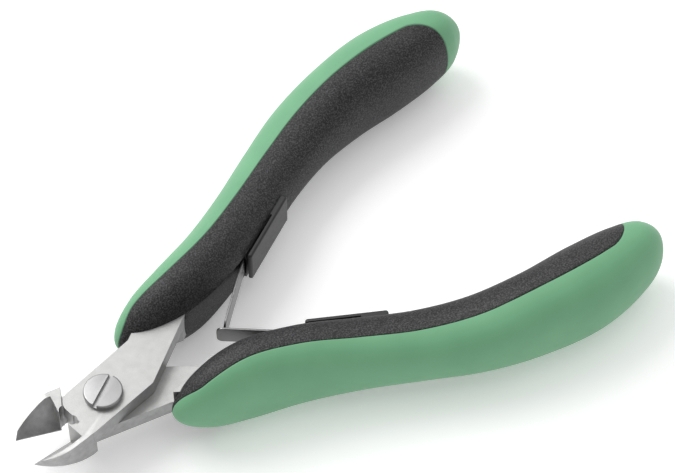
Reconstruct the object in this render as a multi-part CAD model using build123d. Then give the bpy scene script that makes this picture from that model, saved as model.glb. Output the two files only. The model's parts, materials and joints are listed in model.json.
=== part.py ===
from build123d import *
import math
import os

# Small flush cutter for electronics work: two forged halves lapped over each other at a pivot screw, two
# moulded handles and a pair of leaf springs that push against each other between the handles.
# Every piece of one half is drawn with the tool closed, the tool's centre line along X, the jaws at -X and
# the lap plane at z = 0. Each half then swings out by open_angle to where the springs hold it.

# Head
open_angle = 10.0
half_thickness = 4.0
lap_gap = 0.04
joint_half_width = 5.6
joint_end = 8.1
joint_corner_radius = 3.0
joint_rear = 9.1
throat_angle = 24.2
step_clearance = 2.2
heel_clearance = 0.12
heel_angle = 19.5
bore_clearance = 0.04

# Jaws
jaw_reach = 20.2
jaw_straight = 9.5
jaw_root_offset = 1.45
jaw_taper_start_above = 11.5
jaw_taper_start_below = 8.6
tip_height_above = 0.8
tip_height_below = 0.5
edge_gap = 0.03
edge_height_at_heel = -3.2
bevel_start = 10.2
bevel_width_at_heel = 4.3
bevel_hollow = 0.5
bevel_middle_edge_share = 0.55
bevel_middle_width_share = 0.72
bevel_middle_top_share = 0.62
relief_hole_radius = 1.1
relief_hole_reach = 8.9

# Pivot
screw_head_radius = 4.2
screw_head_height = 1.4
screw_head_round = 0.35
screw_slot_width = 1.0
screw_slot_depth = 0.8
screw_slot_angle = 31.0
shank_radius = 2.6
thread_radius = 2.0
nut_radius = 3.6
nut_height = 1.6
nut_hole_radius = 0.4

# Handles: how far along X, distance from the centre line, half width and half depth of each oval section
handle_stations = [
    (12.2, 8.5, 1.0, 1.8),
    (14.8, 8.6, 3.2, 5.2),
    (20.3, 8.3, 5.3, 8.8),
    (28.4, 7.8, 6.6, 11.0),
    (40.8, 9.1, 7.1, 10.4),
    (53.6, 12.5, 7.05, 8.8),
    (66.5, 16.4, 7.3, 8.0),
    (79.1, 19.2, 7.9, 9.0),
    (91.5, 19.9, 8.3, 10.8),
    (105.5, 18.8, 8.8, 11.2),
    (115.4, 16.9, 7.4, 10.4),
    (122.0, 15.4, 5.2, 8.0),
    (125.2, 14.7, 2.0, 3.4),
]
handle_stretch = 1.0
grip_thickness = 2.2
grip_gap = 0.1
parting_offset = 1.4
parting_offset_rear = 0.5
parting_shift_start = 55.0
parting_shift_end = 95.0
parting_end = 117.0
parting_corner = 6.0

# Tang inside the handle
tang_half_width = 2.6
tang_half_depth = 3.0
tang_end = 84.0
tang_clearance = 0.05

# Springs and their housings
housing_x = 46.0
housing_proud = 1.55
housing_length = 18.0
housing_depth = 4.6
housing_half_width = 4.4
housing_angle = 18.5
housing_round = 0.6
housing_clearance = 0.05
lip_thickness = 0.9
lip_length = 12.0
slit_width = 0.6
leaf_thickness = 0.5
leaf_half_width = 2.4
leaf_play = 0.3
leaf_depth = 2.3
leaf_hinge_inset = 1.0
leaf_seat_play = 0.05
leaf_root_length = 9.0
leaf_contact_gap = 0.24
leaf_fold_angle = 20.0
leaf_extra_opening = 3.0
upper_leaf_rest_angle = 41.5
lower_leaf_rest_angle = 39.0
lower_leaf_length = 20.2
rivet_radius = 0.8
rivet_head_radius = 1.28
rivet_head_height = 0.5
rivet_clearance = 0.04


def slab(face, low, high):
    """A flat shape with its plan at z = 0, from height low to height high."""
    return Pos(0, 0, low) * extrude(face, high - low)


def strip(start, angle, length, below, above):
    """A plan rectangle that runs from start at an angle, reaching below and above its line."""
    plan = Pos(length / 2, (above - below) / 2) * Rectangle(length, above + below)
    return Pos(*start) * Rot(0, 0, angle) * plan


def from_point(point, angle, distance):
    """The place at a distance from a point in a direction."""
    turn = math.radians(angle)
    return point[0] + distance * math.cos(turn), point[1] + distance * math.sin(turn)


# Handle envelope



def stretched(x):
    """Where a place along the unstretched handle comes to lie."""
    first = handle_stations[0][0]
    return first + (x - first) * handle_stretch


stations = [(stretched(x), out, half_width, half_depth) for x, out, half_width, half_depth in handle_stations]


def handle_at(x):
    """Centre distance and half width of the handle at x, straight between its stations."""
    for near, far in zip(stations, stations[1:]):
        if near[0] <= x <= far[0]:
            share = (x - near[0]) / (far[0] - near[0])
            return tuple(near[i] + share * (far[i] - near[i]) for i in (1, 2))
    raise ValueError(f"no handle at x = {x}")


def handle_section(index, inset):
    """One oval section, square to the handle's centre curve and smaller by inset all round."""
    x, y, half_width, half_depth = stations[index]
    before = stations[max(index - 1, 0)]
    after = stations[min(index + 1, len(stations) - 1)]
    along = Vector(after[0] - before[0], after[1] - before[1], 0).normalized()
    plane = Plane(origin=(x, y, 0), x_dir=(-along.Y, along.X, 0), z_dir=along)
    return plane * Ellipse(half_width - inset, half_depth - inset)


def handle_body(inset=0.0):
    """The oval handle as one smooth body; an inset body stops one section short at each end."""
    ends = 0 if inset == 0 else 1
    return loft([handle_section(i, inset) for i in range(ends, len(stations) - ends)])


def parting_offset_at(x):
    """How far outwards of the handle's centre curve the parting line runs."""
    start = stretched(parting_shift_start)
    share = (x - start) / (stretched(parting_shift_end) - start)
    share = min(max(share, 0.0), 1.0)
    return parting_offset + share * (parting_offset_rear - parting_offset)


def parting_region(shift):
    """Plan of the handle's inner side, bounded by the parting line moved outwards by shift."""
    end = stretched(parting_end)
    line = [(x, y + parting_offset_at(x) + shift) for x, y, _, _ in stations[1:-3]]
    nose = (stations[0][0] - 1.0, stations[0][1] + shift)
    corner_y = handle_at(end - parting_corner)[0]
    corner = (end - parting_corner * 0.55 + shift, corner_y - 1.0)
    edge = Spline(nose, *line, corner, (end + shift, corner_y - 2 * parting_corner))
    border = Polyline(edge @ 1, (end, -20), (nose[0] - 5, -20), (nose[0] - 5, nose[1]), nose)
    return make_face([edge, border])


# Steel halves

handle_centre = [(x, y) for x, y, _, _ in stations]
throat_slope = math.tan(math.radians(throat_angle))
throat_out = 32.0


def plate_outline():
    """Plan of the joint plate and the root of its tang; the jaw is on the -Y side."""
    corner = (-joint_end, joint_half_width)
    inner_end = (throat_out, -joint_half_width + (throat_out - joint_rear) * throat_slope)
    outer_end = (throat_out, handle_at(throat_out)[0] + tang_half_width)
    points = [
        (-joint_end, -joint_half_width),
        corner,
        (stations[1][0] - 2.0, joint_half_width + 0.3),
        (stations[2][0], handle_at(stations[2][0])[0] + 0.8),
        outer_end,
        inner_end,
        (joint_rear, -joint_half_width),
    ]
    face = make_face(Polyline(*points, close=True))
    rounded = [v for v in face.vertices() if (v.center() - Vector(*corner)).length < 0.01]
    return fillet(rounded, joint_corner_radius)


def step_distance():
    """Distance from the pivot to the step that the other half's plate swings against."""
    turn = math.radians(90 - throat_angle)
    return joint_rear * math.cos(turn) + joint_half_width * math.sin(turn) + step_clearance


def behind_step():
    """Plan of everything behind the step."""
    return Rot(0, 0, 90 - throat_angle) * Pos(step_distance() + 50, 0) * Rectangle(100, 200)


def before_step():
    """Plan of everything in front of the step."""
    return Rot(0, 0, 90 - throat_angle) * Pos(step_distance() - 50, 0) * Rectangle(100, 200)


def tang_outline(extra=0.0):
    """Plan of the bar that follows the handle's centre curve to the tang's end."""
    end = stretched(tang_end)
    inside = [(x, y) for x, y in handle_centre if throat_out - 6 < x < end]
    inside.append((end, handle_at(end)[0]))
    lower = [(x, y - tang_half_width - extra) for x, y in inside]
    upper = [(x, y + tang_half_width + extra) for x, y in inside]
    lower[-1] = (end + extra, lower[-1][1])
    upper[-1] = (end + extra, upper[-1][1])
    return make_face(Polyline(*lower, *reversed(upper), close=True))


def heel_reach():
    """Distance from the pivot to the flat heel wall, just outside the swing of the plate's corner."""
    centre = math.hypot(joint_end - joint_corner_radius, joint_half_width - joint_corner_radius)
    return centre + joint_corner_radius + heel_clearance


def heel_x(y):
    """Where the leaning heel wall stands at a distance y from the centre line."""
    lean = math.radians(heel_angle)
    return -(heel_reach() - y * math.sin(lean)) / math.cos(lean)


def jaw():
    """The jaw on the +Y side: full thickness, hollow-ground bevel on top, tapered to the tip."""
    side = joint_half_width - 0.1
    back = Line((heel_x(side), side), (-jaw_straight, side))
    nose = TangentArc((-jaw_straight, side), (-jaw_reach, edge_gap), tangent=(-1, 0))
    root_x = heel_x(jaw_root_offset)
    rest = Polyline(nose @ 1, (root_x, edge_gap), (root_x, jaw_root_offset), back @ 0)
    plan = make_face([back, nose, rest])
    taper = Polyline(
        (0, -half_thickness),
        (-jaw_taper_start_below, -half_thickness),
        (-jaw_reach, -tip_height_below),
        (-jaw_reach, tip_height_above),
        (-jaw_taper_start_above, half_thickness),
        (0, half_thickness),
        close=True,
    )
    profile = extrude(Plane.XZ * make_face(taper), -20)
    body = slab(plan, -half_thickness, half_thickness) & profile
    return body - bevel()


def bevel_section(x, edge_height, width, top):
    """What the grinding wheel takes away at one place along the edge."""
    edge = (edge_gap, edge_height)
    rim = (edge_gap + width, top)
    wheel = SagittaArc(edge, rim, -bevel_hollow * width / bevel_width_at_heel)
    over = Polyline(rim, (edge_gap + width * 1.2, top + 2), (-2, top + 2), (-2, edge_height), edge)
    # This plane's x runs along +Y and its y along +Z.
    return Plane(origin=(x, 0, 0), x_dir=(0, 1, 0), z_dir=(1, 0, 0)) * make_face([wheel, over])


def bevel():
    middle = (bevel_start + jaw_reach) / 2
    middle_edge = edge_height_at_heel * bevel_middle_edge_share
    middle_width = bevel_width_at_heel * bevel_middle_width_share
    middle_top = half_thickness * bevel_middle_top_share
    sections = [
        bevel_section(-bevel_start, edge_height_at_heel, bevel_width_at_heel, half_thickness),
        bevel_section(-middle, middle_edge, middle_width, middle_top),
        bevel_section(-jaw_reach - 0.5, -tip_height_below * 0.3, 0.25, tip_height_above * 0.9),
    ]
    return loft(sections)


def jaw_root():
    """Plan of the wedge that joins the plate's front edge to its own jaw, on the -Y side."""
    inside = -joint_end + 1.0
    root = (heel_x(jaw_root_offset) - 0.2, -jaw_root_offset)
    side = -joint_half_width + 0.1
    points = [root, (inside, -jaw_root_offset), (inside, side), (heel_x(-side), side)]
    return make_face(Polyline(*points, close=True))


def steel_half(jaw_solid):
    """One forging: joint plate above the lap plane, jaw on the -Y side and tang on the +Y side."""
    plate = slab(plate_outline(), lap_gap / 2, half_thickness)
    plate += slab(jaw_root(), lap_gap / 2, half_thickness)
    tang_root = slab(plate_outline() & behind_step(), -half_thickness, half_thickness)
    tang = slab(tang_outline(), -tang_half_depth, tang_half_depth)
    body = plate + tang_root + tang + jaw_solid
    return body - Pos(-relief_hole_reach, 0) * Cylinder(relief_hole_radius, 4 * half_thickness)


def tang_pocket():
    """The room that a handle core leaves for its tang."""
    root = offset(plate_outline() & behind_step(), tang_clearance, kind=Kind.INTERSECTION)
    upper = offset(plate_outline(), tang_clearance, kind=Kind.INTERSECTION)
    reach = half_thickness + tang_clearance
    inner = tang_half_depth + tang_clearance
    bar = slab(tang_outline(tang_clearance), -inner, inner)
    # The handle also keeps clear of the room in which the other half's plate swings.
    swing = slab(before_step(), -30, -tang_clearance)
    return slab(root, -reach, reach) + slab(upper, -tang_clearance, reach) + bar + swing


# Spring, housing and handle pieces of one half

housing_start = stretched(housing_x)
housing_y = handle_at(housing_start)[0] - handle_at(housing_start)[1] - housing_proud
housing_front = (housing_start, housing_y)
hinge_on_face = from_point(housing_front, housing_angle, leaf_hinge_inset)
leaf_hinge = from_point(hinge_on_face, housing_angle + 90, leaf_depth)
hinge_at_rest = (Rot(0, 0, open_angle) * Pos(*leaf_hinge)).position


def upper_leaf_length():
    """The upper blade ends where its tip all but touches the lower blade, both at rest."""
    upper = math.radians(upper_leaf_rest_angle)
    lower = math.radians(lower_leaf_rest_angle)
    between = 2 * hinge_at_rest.Y - (leaf_thickness + leaf_contact_gap) / math.cos(lower)
    return between / (math.sin(upper) + math.cos(upper) * math.tan(lower))


def leaf_blade(length, rest_angle):
    """The free part of a leaf, with rounded corners at its tip."""
    half = leaf_thickness / 2
    # A blade stands at rest_angle to the tool's centre line while its handle is open by open_angle.
    angle = 180 + rest_angle - open_angle
    plan = strip(leaf_hinge, angle, length, half, half) + Pos(*leaf_hinge) * Circle(half)
    blade = slab(plan, -leaf_half_width, leaf_half_width)
    tip = Vector(*from_point(leaf_hinge, angle, length), 0)
    edges = blade.edges().filter_by(lambda e: abs(e.length - leaf_thickness) < 0.01)
    return fillet(edges.sort_by(lambda e: (e.center() - tip).length)[:2], leaf_half_width * 0.4)


def leaf_room():
    """The room that either blade sweeps through, from fully folded to fully open, with play all round."""
    half = leaf_thickness / 2 + leaf_play
    reach = max(lower_leaf_length, upper_leaf_length()) + leaf_play
    folded = 180 + min(lower_leaf_rest_angle, upper_leaf_rest_angle) - open_angle - leaf_fold_angle
    opened = 180 + max(lower_leaf_rest_angle, upper_leaf_rest_angle) - open_angle + leaf_extra_opening
    corners = [leaf_hinge, from_point(leaf_hinge, folded, reach), from_point(leaf_hinge, opened, reach)]
    plan = make_face(Polyline(*corners, close=True)) + Pos(*leaf_hinge) * Circle(half)
    for angle in (folded, opened):
        plan += strip(leaf_hinge, angle, reach, half, half)
    width = leaf_half_width + leaf_play
    return slab(plan, -width, width)


def leaf_root(extra=0.0):
    """The part of a leaf that its housing grips, just behind the bend."""
    start = from_point(leaf_hinge, housing_angle, leaf_thickness / 2 + leaf_seat_play - extra)
    half = leaf_thickness / 2 + extra
    plan = strip(start, housing_angle, leaf_root_length + 2 * extra, half, half)
    return slab(plan, -leaf_half_width - extra, leaf_half_width + extra)


def rivet_place():
    return from_point(leaf_hinge, housing_angle, leaf_root_length * 0.7)


def rivet_blank(extra=0.0):
    """A headed rivet across the leaf root, along the direction square to the housing's face."""
    reach = lip_thickness * 0.6
    shank = Cylinder(rivet_radius + extra, leaf_thickness + 2 * reach + 2 * extra)
    head = Cylinder(rivet_head_radius + extra, rivet_head_height + 2 * extra)
    cap = Pos(0, 0, reach + leaf_thickness / 2) * head
    x, y = rivet_place()
    return Pos(x, y, 0) * Rot(0, 0, housing_angle) * Rot(-90, 0, 0) * (shank + cap)


def housing_blank(extra=0.0):
    plan = strip(housing_front, housing_angle, housing_length, extra, housing_depth + extra)
    width = housing_half_width + extra
    block = slab(plan, -width, width)
    if extra > 0:
        return block
    return fillet(block.edges(), housing_round)


def spring_housing():
    """The moulded block in the handle's inner side, open at the front for the leaf."""
    body = housing_blank()
    # A slit parts a thin springy lip from the block, and the leaf's own seat lies deeper.
    slit = strip(housing_front, housing_angle, lip_length, -lip_thickness, lip_thickness + slit_width)
    body -= slab(slit, -2 * housing_half_width, 2 * housing_half_width)
    body -= leaf_root(leaf_seat_play)
    body -= rivet_blank(rivet_clearance)
    return body - leaf_room()


def handle_core():
    """The black inner half of the handle with the hidden core that carries the green outer grip."""
    inner_side = handle_body() & slab(parting_region(-grip_gap / 2), -30, 30)
    body = inner_side + handle_body(grip_thickness + grip_gap)
    body -= tang_pocket()
    body -= housing_blank(housing_clearance)
    return body - leaf_room()


def outer_grip():
    """The green soft skin over the outer side, the nose and the butt."""
    outer_side = handle_body() - slab(parting_region(grip_gap / 2), -30, 30)
    body = outer_side - handle_body(grip_thickness)
    body -= tang_pocket()
    return body


# Pivot


def pivot_screw():
    """Slotted head on the upper plate, plain shank through both plates, thread into the nut."""
    head = Pos(0, 0, half_thickness + screw_head_height / 2) * Cylinder(screw_head_radius, screw_head_height)
    top_rim = head.edges().filter_by(GeomType.CIRCLE).sort_by(Axis.Z)[-1]
    head = fillet(top_rim, screw_head_round)
    slot_height = half_thickness + screw_head_height - screw_slot_depth / 2
    slot = Pos(0, 0, slot_height) * Rot(0, 0, screw_slot_angle) * Box(20, screw_slot_width, screw_slot_depth)
    seat = -half_thickness + nut_height
    shank = Pos(0, 0, (half_thickness + seat) / 2) * Cylinder(shank_radius, half_thickness - seat)
    thread = Pos(0, 0, seat - nut_height / 2) * Cylinder(thread_radius, nut_height)
    return head - slot + shank + thread


def pivot_nut():
    """Round nut let into the lower plate, with two holes for a pin spanner."""
    ring = Cylinder(nut_radius, nut_height) - Cylinder(thread_radius + bore_clearance, 3 * nut_height)
    for side in (-1, 1):
        hole = Cylinder(nut_hole_radius, nut_height)
        ring -= Pos(side * (thread_radius + nut_radius) / 2, 0, -nut_height / 2) * hole
    return Pos(0, 0, -half_thickness + nut_height / 2) * ring


# Assembly

upper_place = Rot(0, 0, open_angle)
lower_place = Rot(0, 0, -open_angle) * Rot(180, 0, 0)

plain_jaw = jaw()
jaw_below = mirror(plain_jaw, about=Plane.XZ)
jaw_turned = Rot(180, 0, 0) * plain_jaw
shank_hole = Cylinder(shank_radius + bore_clearance, 6 * half_thickness)
seat_blank = Cylinder(nut_radius + bore_clearance, 2 * (nut_height + bore_clearance))
nut_seat = Pos(0, 0, -half_thickness) * seat_blank

parts = {
    "upper_half": upper_place * steel_half(jaw_below) - shank_hole,
    "lower_half": lower_place * steel_half(jaw_turned) - shank_hole - nut_seat,
    "pivot_screw": pivot_screw(),
    "pivot_nut": pivot_nut(),
}
half_pieces = {
    "handle_core": handle_core(),
    "outer_grip": outer_grip(),
    "spring_housing": spring_housing(),
    "spring_root": leaf_root() - rivet_blank(rivet_clearance),
    "spring_rivet": rivet_blank(),
}
parts["upper_spring_blade"] = upper_place * leaf_blade(upper_leaf_length(), upper_leaf_rest_angle)
parts["lower_spring_blade"] = lower_place * leaf_blade(lower_leaf_length, lower_leaf_rest_angle)
for name, piece in half_pieces.items():
    parts["upper_" + name] = upper_place * piece
    parts["lower_" + name] = lower_place * piece

os.makedirs("parts", exist_ok=True)
for name, piece in parts.items():
    piece.label = name
    export_step(piece, f"parts/{name}.step")
    print(name, len(piece.solids()), round(piece.volume, 2))

print("upper blade hinge", (upper_place * Pos(*leaf_hinge)).position)
print("lower blade hinge", (lower_place * Pos(*leaf_hinge)).position)
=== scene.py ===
import json
import math

import bmesh
import bpy
import numpy as np
from mathutils import Matrix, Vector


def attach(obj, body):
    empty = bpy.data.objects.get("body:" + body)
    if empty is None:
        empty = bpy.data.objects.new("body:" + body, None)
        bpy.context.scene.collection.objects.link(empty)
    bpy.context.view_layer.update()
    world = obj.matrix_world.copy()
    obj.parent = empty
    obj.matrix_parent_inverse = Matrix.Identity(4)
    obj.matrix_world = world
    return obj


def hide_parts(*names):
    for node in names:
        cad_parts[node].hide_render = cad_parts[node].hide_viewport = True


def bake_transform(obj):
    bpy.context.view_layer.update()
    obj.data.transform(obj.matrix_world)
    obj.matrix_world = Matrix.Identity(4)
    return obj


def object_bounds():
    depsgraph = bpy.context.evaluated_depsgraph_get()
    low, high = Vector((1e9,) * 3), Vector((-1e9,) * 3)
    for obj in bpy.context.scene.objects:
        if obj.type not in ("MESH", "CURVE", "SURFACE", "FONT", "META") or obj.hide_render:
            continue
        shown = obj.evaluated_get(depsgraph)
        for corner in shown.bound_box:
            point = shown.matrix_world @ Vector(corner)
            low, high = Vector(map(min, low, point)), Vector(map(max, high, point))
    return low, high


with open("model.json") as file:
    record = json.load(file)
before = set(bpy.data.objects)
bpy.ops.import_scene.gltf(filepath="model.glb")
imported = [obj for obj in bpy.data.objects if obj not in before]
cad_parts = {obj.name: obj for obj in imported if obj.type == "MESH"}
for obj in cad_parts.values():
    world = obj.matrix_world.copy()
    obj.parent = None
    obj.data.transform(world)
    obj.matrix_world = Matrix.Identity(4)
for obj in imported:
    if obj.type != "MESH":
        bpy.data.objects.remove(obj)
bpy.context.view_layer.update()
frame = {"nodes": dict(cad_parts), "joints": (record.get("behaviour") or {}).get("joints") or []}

mm = 0.001

# how the two halves stand
stance = {
    "openAngle": 10.0,  # each half from the closed tool, degrees
}


def placeHalf(points, side):
    # the upper half turns out by openAngle; the lower is the same half turned over about X first
    x, y, z = points[..., 0], points[..., 1], points[..., 2]
    turn = math.radians(stance["openAngle"])
    if side == "lower":
        y, z, turn = -y, -z, -turn
    along = x * math.cos(turn) - y * math.sin(turn)
    across = x * math.sin(turn) + y * math.cos(turn)
    return np.stack([along, across, z], -1) * mm


def closedPlace(jointName):
    # where an upper half's joint lies on the closed tool, in millimetres: its place turned back by openAngle
    place = next(joint["pos_m"] for joint in frame["joints"] if joint["name"] == jointName)
    x, y = place[0] / mm, place[1] / mm
    turn = math.radians(stance["openAngle"])
    return x * math.cos(turn) + y * math.sin(turn), y * math.cos(turn) - x * math.sin(turn)



def throughKnots(knots, values, at):
    # cubic Hermite curve through the knots, each slope taken from the two neighbours
    knots, values = np.asarray(knots, float), np.asarray(values, float)
    slopes = np.gradient(values, knots)
    i = np.clip(np.searchsorted(knots, at) - 1, 0, len(knots) - 2)
    width = knots[i + 1] - knots[i]
    t = np.clip((at - knots[i]) / width, 0, 1)
    start = (1 + 2 * t) * (1 - t) ** 2 * values[i] + t * (1 - t) ** 2 * width * slopes[i]
    return start + t**2 * (3 - 2 * t) * values[i + 1] - t**2 * (1 - t) * width * slopes[i + 1]


def smoothStep(low, high, x):
    # 0 below low, 1 above high and a smooth S of three t squared less two t cubed between
    t = np.clip((x - low) / (high - low), 0, 1)
    return t * t * (3 - 2 * t)


def smoothMax(a, b, radius):
    # the larger of two values, with the corner between them rounded over radius
    h = np.clip(0.5 + 0.5 * (a - b) / radius, 0, 1)
    return b + (a - b) * h + radius * h * (1 - h)


def crowd(positions, weight, count):
    # count positions spread so that they stand closer where weight is larger
    total = np.concatenate([[0], np.cumsum(0.5 * (weight[1:] + weight[:-1]) * np.diff(positions))])
    return np.interp(np.linspace(0, total[-1], count), total, positions)


def gridNormals(grid):
    # outward direction at each point of a closed-round grid, from its neighbours along and around
    along = np.gradient(grid, axis=0)
    around = np.roll(grid, -1, axis=1) - np.roll(grid, 1, axis=1)
    normal = np.cross(around, along)
    normal[0] = normal[1].mean(axis=0)
    normal[-1] = normal[-2].mean(axis=0)
    return normal / np.maximum(np.linalg.norm(normal, axis=-1, keepdims=True), 1e-12)


def meshFromGrid(name, grid, material):
    # rows of points that close round on themselves, with the first and last row each drawn to one point
    rows, cols = grid.shape[0] - 2, grid.shape[1]
    points = np.concatenate([grid[1:-1].reshape(-1, 3), grid[:1].mean(axis=1), grid[-1:].mean(axis=1)])
    first, last = rows * cols, rows * cols + 1
    i, j = np.meshgrid(np.arange(rows - 1), np.arange(cols), indexing="ij")
    k = (j + 1) % cols
    quads = np.stack([i * cols + j, (i + 1) * cols + j, (i + 1) * cols + k, i * cols + k], -1).reshape(-1, 4)
    j, k, end = j[0], k[0], (rows - 1) * cols
    fans = np.concatenate(
        [np.stack([np.full(cols, first), j, k], -1), np.stack([np.full(cols, last), end + k, end + j], -1)]
    )
    # six times the enclosed volume tells whether the faces look outwards
    corners = points[np.concatenate([quads[:, [0, 1, 2]], quads[:, [0, 2, 3]], fans])]
    if np.einsum("ij,ij->", np.cross(corners[:, 0], corners[:, 1]), corners[:, 2]) < 0:
        quads, fans = quads[:, ::-1], fans[:, ::-1]
    mesh = bpy.data.meshes.new(name)
    mesh.from_pydata(points.tolist(), [], quads.tolist() + fans.tolist())
    mesh.shade_smooth()
    mesh.materials.append(material)
    piece = bpy.data.objects.new(name, mesh)
    bpy.context.scene.collection.objects.link(piece)
    return piece



class Val:
    # one socket's value, with arithmetic that adds Math nodes
    def __init__(self, paint, socket):
        self.paint, self.socket = paint, socket

    def out(self, name):
        return Val(self.paint, self.socket.node.outputs[name])

    def math(self, operation, first, second):
        return self.paint.node("ShaderNodeMath", {"operation": operation}, {0: first, 1: second})

    def __add__(self, other):
        return self.math("ADD", self, other)

    def __radd__(self, other):
        return self.math("ADD", other, self)

    def __sub__(self, other):
        return self.math("SUBTRACT", self, other)

    def __rsub__(self, other):
        return self.math("SUBTRACT", other, self)

    def __mul__(self, other):
        return self.math("MULTIPLY", self, other)

    def __rmul__(self, other):
        return self.math("MULTIPLY", other, self)


class Paint:
    # a material with its surface shader; constant looks are set on the shader's own sockets
    def __init__(self, name, looks):
        self.material = bpy.data.materials.new(name)
        self.material.use_nodes = True
        self.tree = self.material.node_tree
        self.shader = self.tree.nodes["Principled BSDF"]
        for socket, value in looks.items():
            self.shader.inputs[socket].default_value = value

    def node(self, kind, settings, sockets):
        made = self.tree.nodes.new(kind)
        for key, value in settings.items():
            setattr(made, key, value)
        for key, value in sockets.items():
            self.feed(made.inputs[key], value)
        return Val(self, made.outputs[0])

    def feed(self, socket, value):
        if isinstance(value, Val):
            self.tree.links.new(value.socket, socket)
        else:
            socket.default_value = value

    def wear(self, name, value):
        # what changes over the surface goes to one of the shader's sockets
        self.feed(self.shader.inputs[name], value)

    def place(self):
        return self.node("ShaderNodeTexCoord", {}, {}).out("Object")

    def stretched(self, place, scale, turn=0.0):
        settings = {"Scale": scale, "Rotation": (0, 0, math.radians(turn))}
        return self.node("ShaderNodeMapping", {}, {"Vector": place, **settings})

    def noise(self, place, size, detail=2.0, rough=0.5):
        # smooth random pattern from 0 to 1, size in metres
        sockets = {"Vector": place, "Scale": 1 / size, "Detail": detail, "Roughness": rough}
        return self.node("ShaderNodeTexNoise", {}, sockets).out("Fac")

    def mixColour(self, share, low, high):
        return self.node("ShaderNodeMix", {"data_type": "RGBA"}, {0: share, 6: low, 7: high}).out("Result")

    def ramp(self, share, low, high):
        # from 0 at low to 1 at high, held flat outside
        sockets = {"Value": share, "From Min": low, "From Max": high}
        return self.node("ShaderNodeMapRange", {"clamp": True}, sockets)

    def bump(self, height, strength, distance):
        sockets = {"Height": height, "Strength": strength, "Distance": distance}
        return self.node("ShaderNodeBump", {}, sockets)


def colour(r, g, b):
    return (r, g, b, 1.0)


blastedSteel = {
    "dark": colour(0.33, 0.33, 0.325),
    "light": colour(0.46, 0.46, 0.455),
    "grain": 0.16 * mm,
    "cloud": 1.8 * mm,
    "roughness": 0.38,
}


def makeBlastedSteel():
    # glass-bead finish: fine grain in colour, roughness and height over a faint cloudiness
    paint = Paint("blastedSteel", {"Metallic": 1.0})
    place = paint.place()
    grain = paint.noise(place, blastedSteel["grain"], 2.0, 0.6)
    cloud = paint.noise(place, blastedSteel["cloud"], 3.0)
    tone = paint.ramp(grain * 0.75 + cloud * 0.25, 0.3, 0.7)
    paint.wear("Base Color", paint.mixColour(tone, blastedSteel["dark"], blastedSteel["light"]))
    paint.wear("Roughness", blastedSteel["roughness"] + 0.14 * grain - 0.05 * cloud)
    paint.wear("Normal", paint.bump(grain, 0.35, 0.02 * mm))
    return paint.material


groundSteel = {
    "dark": colour(0.27, 0.27, 0.27),
    "light": colour(0.46, 0.46, 0.46),
    "line": 0.06 * mm,
    "roughness": 0.3,
}


def makeGroundSteel(name, stretch, turn):
    # straight grinding marks: noise drawn out along one direction, in tone, roughness and height
    paint = Paint(name, {"Metallic": 1.0})
    lines = paint.noise(paint.stretched(paint.place(), stretch, turn), groundSteel["line"], 3.0, 0.6)
    broad = paint.noise(paint.place(), 1.5 * mm, 2.0)
    tone = paint.ramp(lines * 0.6 + broad * 0.4, 0.3, 0.7)
    paint.wear("Base Color", paint.mixColour(tone, groundSteel["dark"], groundSteel["light"]))
    paint.wear("Roughness", groundSteel["roughness"] + 0.16 * lines)
    paint.wear("Normal", paint.bump(lines, 0.3, 0.01 * mm))
    return paint.material


springSteel = {
    "dark": colour(0.16, 0.16, 0.16),
    "light": colour(0.30, 0.30, 0.30),
}


def makeSpringSteel():
    # rolled strip: long faint marks and a soft sheen
    paint = Paint("springSteel", {"Metallic": 1.0})
    marks = paint.noise(paint.stretched(paint.place(), (0.15, 0.15, 1.0)), 0.12 * mm, 3.0, 0.55)
    paint.wear("Base Color", paint.mixColour(marks, springSteel["dark"], springSteel["light"]))
    paint.wear("Roughness", 0.24 + 0.14 * marks)
    paint.wear("Normal", paint.bump(marks, 0.15, 0.01 * mm))
    return paint.material


turnedSteel = {
    "dark": colour(0.29, 0.29, 0.29),
    "light": colour(0.41, 0.41, 0.41),
    "ring": 0.2 * mm,
}


def makeTurnedSteel():
    # lathe rings about the pivot axis, with the fine grain of a satin finish
    paint = Paint("turnedSteel", {"Metallic": 1.0})
    place = paint.place()
    flat = paint.node("ShaderNodeVectorMath", {"operation": "MULTIPLY"}, {0: place, 1: (1, 1, 0)})
    out = paint.node("ShaderNodeVectorMath", {"operation": "LENGTH"}, {0: flat}).out("Value")
    phase = out * (2 * math.pi / turnedSteel["ring"])
    rings = paint.node("ShaderNodeMath", {"operation": "SINE"}, {0: phase})
    grain = paint.noise(place, 0.15 * mm, 2.0)
    tone = paint.ramp(rings * 0.15 + grain, 0.2, 0.8)
    paint.wear("Base Color", paint.mixColour(tone, turnedSteel["dark"], turnedSteel["light"]))
    paint.wear("Roughness", 0.3 + 0.12 * grain)
    paint.wear("Normal", paint.bump(rings * 0.35 + grain, 0.25, 0.01 * mm))
    return paint.material


blackHandle = {
    "dark": colour(0.004, 0.004, 0.005),
    # light is the painted highlight colour on the pebble tops
    "light": colour(0.078, 0.075, 0.079),
    "pebble": 0.32 * mm,
    "roughness": 0.5,
}


def makeBlackHandle():
    # spark-eroded mould grain: pebbles of two sizes in a random grain tone, with a painted highlight that
    # makes their tops lighter
    paint = Paint("blackHandle", {"Specular IOR Level": 0.5})
    place = paint.place()
    pebble = paint.noise(place, blackHandle["pebble"], 2.0, 0.55)
    fine = paint.noise(place, 0.15 * mm, 2.0, 0.6)
    height = pebble * 0.7 + fine * 0.3
    # painted highlight: the colour follows the pebbles' height, so their tops are painted lighter as if
    # catching the light
    tone = paint.ramp(height, 0.44, 0.63)
    paint.wear("Base Color", paint.mixColour(tone, blackHandle["dark"], blackHandle["light"]))
    paint.wear("Roughness", blackHandle["roughness"] + 0.2 * fine)
    paint.wear("Normal", paint.bump(height, 0.8, 0.09 * mm))
    return paint.material


blackHousing = {
    "dark": colour(0.012, 0.012, 0.013),
    "light": colour(0.035, 0.035, 0.037),
}


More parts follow.
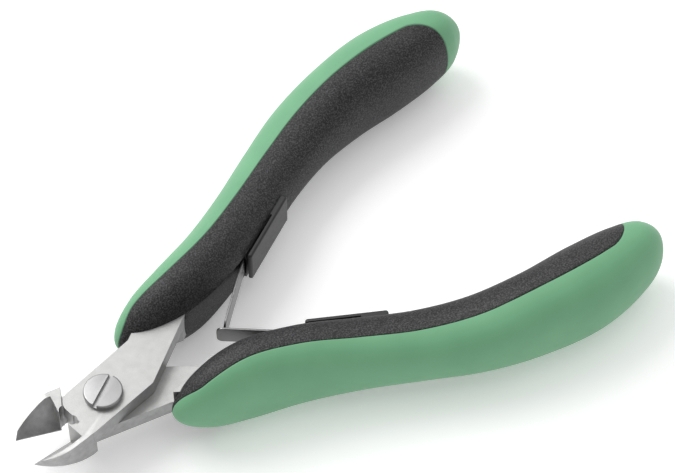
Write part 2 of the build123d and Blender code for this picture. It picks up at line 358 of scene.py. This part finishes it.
def makeBlackHousing():
    # smoother moulding with a faint orange-peel and fine scratches
    paint = Paint("blackHousing", {"Specular IOR Level": 0.5})
    place = paint.place()
    peel = paint.noise(place, 0.6 * mm, 2.0)
    fine = paint.noise(place, 0.12 * mm, 2.0)
    paint.wear("Base Color", paint.mixColour(fine, blackHousing["dark"], blackHousing["light"]))
    paint.wear("Roughness", 0.32 + 0.18 * peel)
    paint.wear("Normal", paint.bump(peel * 0.5 + fine * 0.5, 0.35, 0.03 * mm))
    return paint.material


greenGrip = {
    "dark": colour(0.155, 0.395, 0.218),
    "light": colour(0.192, 0.46, 0.256),
    "roughness": 0.52,
}


def makeGreenGrip():
    # soft elastomer: a very fine matt grain, slight cloudiness and a powdery sheen
    looks = {"Specular IOR Level": 0.4, "Sheen Weight": 0.12, "Sheen Roughness": 0.5}
    paint = Paint("greenGrip", looks)
    place = paint.place()
    fine = paint.noise(place, 0.12 * mm, 3.0, 0.6)
    cloud = paint.noise(place, 9 * mm, 2.0)
    tone = paint.ramp(fine * 0.5 + cloud * 0.5, 0.3, 0.7)
    paint.wear("Base Color", paint.mixColour(tone, greenGrip["dark"], greenGrip["light"]))
    paint.wear("Roughness", greenGrip["roughness"] + 0.16 * fine)
    paint.wear("Normal", paint.bump(fine, 0.3, 0.02 * mm))
    return paint.material


satin = makeBlastedSteel()
ground = makeGroundSteel("groundFlanks", (0.1, 0.1, 1.0), 0.0)
hollow = makeGroundSteel("groundBevels", (1.0, 0.08, 0.5), 12.0)
strip = makeSpringSteel()
turned = makeTurnedSteel()
black = makeBlackHandle()
smoothBlack = makeBlackHousing()
green = makeGreenGrip()
print("materials made")

# stations along the closed tool, in millimetres: the oval's centre, half width and half depth
handle = {
    "x": [11.9, 14.8, 20.3, 28.4, 40.8, 53.6, 66.5, 79.1, 91.5, 105.5, 115.4, 122.0, 125.2, 125.8],
    "y": [8.5, 8.6, 8.3, 7.8, 9.1, 12.5, 16.4, 19.2, 19.9, 18.8, 16.9, 15.4, 14.7, 14.6],
    "halfWidth": [0, 3.2, 5.3, 6.6, 7.1, 7.05, 7.3, 7.9, 8.3, 8.8, 7.4, 5.2, 2.0, 0],
    "halfDepth": [0, 5.2, 8.8, 11.0, 10.4, 8.8, 8.0, 9.0, 10.8, 11.2, 10.4, 8.0, 3.4, 0],
    "fullness": 2.12,  # 2 is an ellipse, more is squarer
    "rows": 330,
    "around": 240,
    "samples": 4000,
    # rows crowd near the butt's seam, points around crowd near the side seams and the facet's rim
    "seamCrowd": 2.5,
    "seamReach": 3.5,
    "sideAngle": 80,
    "sideCrowd": 5,
    "sideReach": 0.07,
    "rimAngle": 160,
    "rimCrowd": 2,
    "rimReach": 0.1,
}
parting = {
    "noseOffset": -0.3,  # outwards from the centre curve
    "offset": 1.4,
    "rearOffset": 0.5,
    "noseRange": (12, 19),  # where one offset passes into the next
    "rearRange": (50, 100),
    "end": 117.6,  # where the black stops short of the butt
    "corner": 6.5,
    "lip": 0.24,
    "hidden": 1.2,
    "drop": 0.35,
}
facet = {
    "x": 28.4,
    "y": 2.05,
    "slope": 0.16,
    "top": 3.6,
    "soft": 0.5,
    "fade": (50, 56),
    "round": 0.3,
}


def handleGrid():
    # ovals square to a centre curve; the squares of their half sizes run smoothly, so both ends close round
    start, end = handle["x"][0], handle["x"][-1]
    t = np.linspace(0, 1, handle["samples"])
    x = start + (end - start) * (1 - np.cos(math.pi * t)) / 2
    rowWeight = 1 + handle["seamCrowd"] * np.exp(-(((x - parting["end"]) / handle["seamReach"]) ** 2))
    t = crowd(t, rowWeight, handle["rows"])
    x = start + (end - start) * (1 - np.cos(math.pi * t)) / 2
    turn = np.linspace(-math.pi, math.pi, handle["samples"])
    side, rim = math.radians(handle["sideAngle"]), math.radians(handle["rimAngle"])
    weight = 1 + handle["sideCrowd"] * np.exp(-(((abs(turn) - side) / handle["sideReach"]) ** 2))
    weight += handle["rimCrowd"] * np.exp(-(((abs(turn) - rim) / handle["rimReach"]) ** 2))
    turn = crowd(turn, weight, handle["around"] + 1)[:-1]
    y = throughKnots(handle["x"], handle["y"], x)
    halfWidth = np.sqrt(np.maximum(throughKnots(handle["x"], np.square(handle["halfWidth"]), x), 0))
    halfDepth = np.sqrt(np.maximum(throughKnots(handle["x"], np.square(handle["halfDepth"]), x), 0))
    slope = np.gradient(y, x)
    length = np.sqrt(1 + slope**2)
    power = 2 / handle["fullness"]
    out = np.sign(np.cos(turn)) * np.abs(np.cos(turn)) ** power
    up = np.sign(np.sin(turn)) * np.abs(np.sin(turn)) ** power
    u = halfWidth[:, None] * out
    gridX = x[:, None] - u * (slope / length)[:, None]
    gridY = y[:, None] + u / length[:, None]
    return np.stack([gridX, gridY, halfDepth[:, None] * up], -1)


def partingDistance(grid):
    # distance in plan from the line between black and green, positive on the green side, corner rounded
    x, y = grid[..., 0], grid[..., 1]
    nose, middle, rear = parting["noseOffset"], parting["offset"], parting["rearOffset"]
    offset = nose + (middle - nose) * smoothStep(*parting["noseRange"], x)
    offset += (rear - middle) * smoothStep(*parting["rearRange"], x)
    inside = np.clip(x, handle["x"][0], handle["x"][-1])
    across = y - throughKnots(handle["x"], handle["y"], inside) - offset
    beyond = x - parting["end"]
    r = parting["corner"]
    a, b = across + r, beyond + r
    return np.hypot(np.maximum(a, 0), np.maximum(b, 0)) + np.minimum(np.maximum(a, b), 0) - r


def sink(distance):
    # a lip rounded down towards the parting line, then a drop under the neighbour
    lip = parting["lip"]
    t = np.clip((distance + lip) / lip, 0, 1)
    return lip * (1 - np.sqrt(1 - t**2)) + parting["hidden"] * smoothStep(0, parting["drop"], distance)


def cutFacet(grid):
    # the inner side is planed back to a flat floor below the upper rim, where the leaf folds in
    floor = facet["y"] + facet["slope"] * (grid[..., 0] - facet["x"])
    share = 1 - smoothStep(facet["top"] - facet["soft"], facet["top"] + facet["soft"], grid[..., 2])
    share *= 1 - smoothStep(*facet["fade"], grid[..., 0])
    cut = grid.copy()
    cut[..., 1] += share * (smoothMax(grid[..., 1], floor, facet["round"]) - grid[..., 1])
    return cut


def makeHandle(side):
    # two skins of one oval surface, each sunk under the other across the parting line
    base = handleGrid()
    normal = gridNormals(base)
    distance = partingDistance(base)
    shape = cutFacet(base)
    coreGrid = shape - normal * sink(distance)[..., None]
    gripGrid = shape - normal * sink(-distance)[..., None]
    core = meshFromGrid(side + "_handle_grained", placeHalf(coreGrid, side), black)
    grip = meshFromGrid(side + "_handle_green_skin", placeHalf(gripGrid, side), green)
    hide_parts(side + "_handle_core")
    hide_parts(side + "_outer_grip")
    for piece in (core, grip):
        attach(piece, side + "_lever")


for side in ("upper", "lower"):
    makeHandle(side)
print("handles made")

leaf = {
    "hinge": closedPlace("upper_leaf_bend"),
    "housingAngle": 18.5,
    "rootLength": 9.3,
    "thickness": 0.5,
    "halfWidth": 2.4,
    "edge": 0.12,
    "bendLength": 5.0,
    "tipCorner": 1.3,
    "around": 48,
    "cornerSpread": 1.09,
    "endShare": 0.75,
    "samples": 6000,
    "bendBehind": 1.5,  # where the bending starts in the root, from the hinge
    "bendAhead": 4.5,  # where it ends in the blade
    "restAngle": {"upper": 41.5, "lower": 39.0},
    "length": {"upper": 18.3, "lower": 20.2},
}


def leafPath(side):
    # straight root, a bend of constant curvature centred on the hinge, straight blade; angles from +X
    rootAngle = math.radians(leaf["housingAngle"] + 180)
    bladeAngle = math.radians(leaf["restAngle"][side] - stance["openAngle"] + 180)
    half = leaf["bendLength"] / 2
    total = leaf["rootLength"] + leaf["length"][side]
    tip = total - leaf["tipCorner"]
    s = np.concatenate([
        [0, 1e-3, 0.1],
        np.linspace(0.3, leaf["rootLength"] - half, 8),
        np.linspace(leaf["rootLength"] - half, leaf["rootLength"] + half, 33)[1:],
        np.linspace(leaf["rootLength"] + half, tip, 40)[1:],
        tip + leaf["tipCorner"] * np.sin(np.linspace(0, math.pi / 2, 15))[1:],
        [total],
    ])
    fine = np.linspace(0, total, leaf["samples"])
    bend = np.clip((fine - (leaf["rootLength"] - half)) / leaf["bendLength"], 0, 1)
    angle = rootAngle + (bladeAngle - rootAngle) * bend
    step = np.diff(fine)
    x = np.concatenate([[0], np.cumsum(np.cos(angle[:-1]) * step)])
    y = np.concatenate([[0], np.cumsum(np.sin(angle[:-1]) * step)])
    middle = leaf["rootLength"]
    bladeStart = np.array([np.interp(middle + half, fine, x), np.interp(middle + half, fine, y)])
    corner = bladeStart - half * np.array([math.cos(bladeAngle), math.sin(bladeAngle)])
    shift = np.array(leaf["hinge"]) - corner
    angles = np.interp(s, fine, angle)
    return s, np.interp(s, fine, x) + shift[0], np.interp(s, fine, y) + shift[1], angles, total


def makeLeaf(side):
    # a rounded-edge strip section carried along the path, its width drawn in round at the tip
    s, x, y, angle, total = leafPath(side)
    corner = leaf["tipCorner"]
    drawn = np.clip((s - (total - corner)) / corner, 0, 1)
    halfWidth = leaf["halfWidth"] - corner * (1 - np.sqrt(1 - np.minimum(drawn, 1) ** 2))
    shrink = np.ones_like(s)
    shrink[0] = shrink[-1] = 0.0
    shrink[1] = leaf["endShare"]
    turns = np.linspace(0, 2 * math.pi, leaf["around"], endpoint=False) + math.pi / leaf["around"]
    r, half = leaf["edge"], leaf["thickness"] / 2
    cornerX = np.sign(np.cos(turns)) * (1 - r / half)
    # each quarter of the section is a small round at one corner of the strip
    quarter = np.floor(turns / (math.pi / 2))
    within = (turns - quarter * math.pi / 2) / (math.pi / 2)
    within = np.clip((within - 0.5) * leaf["cornerSpread"] + 0.5, 0, 1)
    direction = (quarter + within) * math.pi / 2
    thick = cornerX * half + r * np.cos(direction)
    signZ = np.sign(np.sin(turns))
    offsetZ = r * np.sin(direction)
    normal = np.stack([-np.sin(angle), np.cos(angle)], -1)
    px = x[:, None] + normal[:, None, 0] * thick * shrink[:, None]
    py = y[:, None] + normal[:, None, 1] * thick * shrink[:, None]
    pz = (signZ * (halfWidth[:, None] - r) + offsetZ) * shrink[:, None]
    grid = placeHalf(np.stack([px, py, pz], -1), side)
    piece = meshFromGrid(side + "_leaf_spring", grid, strip)
    hinge = placeHalf(np.array([*leaf["hinge"], 0.0]), side)
    a = math.radians(leaf["housingAngle"])
    b = math.radians(leaf["restAngle"][side] - stance["openAngle"] + 180)
    behind = np.array(leaf["hinge"]) + leaf["bendBehind"] * np.array([math.cos(a), math.sin(a)])
    ahead = np.array(leaf["hinge"]) + leaf["bendAhead"] * np.array([math.cos(b), math.sin(b)])
    start = placeHalf(np.array([*behind, 0.0]), side)
    end = placeHalf(np.array([*ahead, 0.0]), side)
    print(side, "leaf bends about", hinge)
    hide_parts(side + "_spring_root", side + "_spring_blade")
    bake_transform(piece)


for side in ("upper", "lower"):
    makeLeaf(side)
print("leaf springs made")


softening = {
    "merge": 0.001 * mm,
    "flatAngle": 0.6,
    "sharpAngle": 32,
    "segments": 2,
}


def softEdges(node, name, body, width, paints, choose=None):
    # a copy of the CAD mesh, merged and cleared of flat triangles, with a narrow round on each sharp edge
    mesh = frame["nodes"][node].data.copy()
    mesh.name = name
    mesh.materials.clear()
    for paint in paints:
        mesh.materials.append(paint)
    work = bmesh.new()
    work.from_mesh(mesh)
    bmesh.ops.remove_doubles(work, verts=work.verts, dist=softening["merge"])
    flat = math.radians(softening["flatAngle"])
    bmesh.ops.dissolve_limit(work, angle_limit=flat, verts=work.verts, edges=work.edges)
    work.to_mesh(mesh)
    work.free()
    if "custom_normal" in mesh.attributes:
        mesh.attributes.remove(mesh.attributes["custom_normal"])
    mesh.polygons.foreach_set("use_smooth", np.ones(len(mesh.polygons), bool))
    count = len(mesh.polygons)
    centres, normals = np.empty(count * 3), np.empty(count * 3)
    mesh.polygons.foreach_get("center", centres)
    mesh.polygons.foreach_get("normal", normals)
    which = np.zeros(count, int)
    if choose is not None:
        which = choose(centres.reshape(-1, 3) / mm, normals.reshape(-1, 3)).astype(int)
    mesh.polygons.foreach_set("material_index", which)
    piece = bpy.data.objects.new(name, mesh)
    bpy.context.scene.collection.objects.link(piece)
    bevel = piece.modifiers.new("softEdges", "BEVEL")
    bevel.width = width
    bevel.segments = softening["segments"]
    bevel.limit_method = "ANGLE"
    bevel.angle_limit = math.radians(softening["sharpAngle"])
    bevel.harden_normals = True
    bevel.miter_outer = "MITER_ARC"
    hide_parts(node)
    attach(piece, body)
    return piece


forging = {
    "jawFrom": -7,  # where the jaws begin, in millimetres along X
    "bevelFrom": -10.4,
    "upright": 0.1,  # how much a wall, a flank and a bevel face up or down
    "flank": 0.5,
    "bevel": (0.15, 0.9),
    "facingTip": -0.8,
}


def jawFinish(centres, normals):
    # 0 blasted faces, 1 ground flanks, 2 hollow-ground bevels between the jaws
    x, z = centres[:, 0], abs(normals[:, 2])
    tipWall = (x < forging["jawFrom"]) & (normals[:, 0] < forging["facingTip"]) & (z < forging["upright"])
    flank = (z < forging["flank"]) & ~tipWall
    low, high = forging["bevel"]
    bevelled = (x < forging["bevelFrom"]) & (z > low) & (z < high)
    return np.where(bevelled, 2, np.where(flank, 1, 0))


edgeWidth = {
    "forging": 0.14 * mm,
    "springBlock": 0.1 * mm,
    "screw": 0.08 * mm,
}
for side in ("upper", "lower"):
    finishes, width = [satin, ground, hollow], edgeWidth["forging"]
    softEdges(side + "_half", side + "_forging", side + "_lever", width, finishes, jawFinish)
    width = edgeWidth["springBlock"]
    node = side + "_spring_housing"
    softEdges(node, side + "_spring_block", side + "_lever", width, [smoothBlack])
softEdges("pivot_screw", "slotted_screw", "lower_lever", edgeWidth["screw"], [turned])
softEdges("pivot_nut", "round_nut", "lower_lever", edgeWidth["screw"], [turned])
for side in ("upper", "lower"):
    rivet = frame["nodes"][side + "_spring_rivet"]
    rivet.data.materials.clear()
    rivet.data.materials.append(turned)
print("steel pieces made")

studio = {
    "floor": colour(0.92, 0.92, 0.92),
    "floorGlow": 0.26,
    "floorDrop": 0.02 * mm,
    "floorSize": 3.0,
    "sky": 0.36,
    "top": 10.0,
    "key": 4.4,
}


def makeFloor():
    # one flat square just under the tool
    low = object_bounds()[0][2] - studio["floorDrop"]
    size = studio["floorSize"]
    mesh = bpy.data.meshes.new("floor")
    corners = [(-size, -size, low), (size, -size, low), (size, size, low), (-size, size, low)]
    mesh.from_pydata(corners, [], [(0, 1, 2, 3)])
    looks = {"Roughness": 0.9, "Base Color": studio["floor"], "Specular IOR Level": 0.1}
    looks |= {"Emission Color": colour(1, 1, 1), "Emission Strength": studio["floorGlow"]}
    paint = Paint("floor", looks)
    mesh.materials.append(paint.material)
    floor = bpy.data.objects.new("floor", mesh)
    bpy.context.scene.collection.objects.link(floor)


view = {
    "elevation": 55.0,
    "turn": 36.2,  # of the tool's X axis from the view's right, degrees
    "target": (65.0 * mm, 5.7 * mm, 0.0),
    "distance": 649 * mm,
    "lens": 158.1,
}


def cameraFrame():
    # right, up and forward in the part's frame
    e, a = math.radians(view["elevation"]), math.radians(view["turn"])
    turnBack = np.array([[math.cos(a), math.sin(a), 0], [-math.sin(a), math.cos(a), 0], [0, 0, 1]])
    right = turnBack @ np.array([1.0, 0, 0])
    up = turnBack @ np.array([0, math.sin(e), math.cos(e)])
    forward = turnBack @ np.array([0, math.cos(e), -math.sin(e)])
    return right, up, forward


def standing(x, y, z, place):
    # the matrix of an object with these three axes at this place
    columns = np.stack([x, y, z, place], -1)
    return Matrix([*columns.tolist(), [0, 0, 0, 1]])


def makeCamera():
    right, up, forward = cameraFrame()
    data = bpy.data.cameras.new("camera")
    data.lens = view["lens"]
    data.sensor_width = 36
    data.clip_start = 0.01
    camera = bpy.data.objects.new("camera", data)
    bpy.context.scene.collection.objects.link(camera)
    camera.matrix_world = standing(right, up, -forward, np.array(view["target"]) - forward * view["distance"])
    bpy.context.scene.camera = camera


def makeLight(name, toward, distance, size, power):
    # a square soft light at a distance, facing the middle of the tool
    data = bpy.data.lights.new(name, "AREA")
    data.shape = "SQUARE"
    data.size = size
    data.energy = power
    light = bpy.data.objects.new(name, data)
    bpy.context.scene.collection.objects.link(light)
    right, up, forward = cameraFrame()
    level = np.cross(np.array([0, 0, 1.0]), right)
    direction = toward[0] * right + toward[1] * level + toward[2] * np.array([0, 0, 1.0])
    direction /= np.linalg.norm(direction)
    place = np.array([0.05, 0, 0]) + distance * direction
    side = np.cross([0, 0, 1.0], direction)
    side /= np.linalg.norm(side)
    light.matrix_world = standing(side, np.cross(direction, side), direction, place)


def makeSky():
    world = bpy.data.worlds.new("sky")
    world.use_nodes = True
    background = world.node_tree.nodes["Background"]
    background.inputs["Color"].default_value = colour(1, 1, 1)
    background.inputs["Strength"].default_value = studio["sky"]
    bpy.context.scene.world = world


makeFloor()
makeSky()
makeLight("top", (0.0, 0.35, 1.0), 1.2, 2.0, studio["top"])
makeLight("key", (-0.7, 0.5, 1.0), 0.9, 0.6, studio["key"])
makeCamera()
bpy.context.scene.view_settings.view_transform = "Standard"
print("floor, light and camera made")
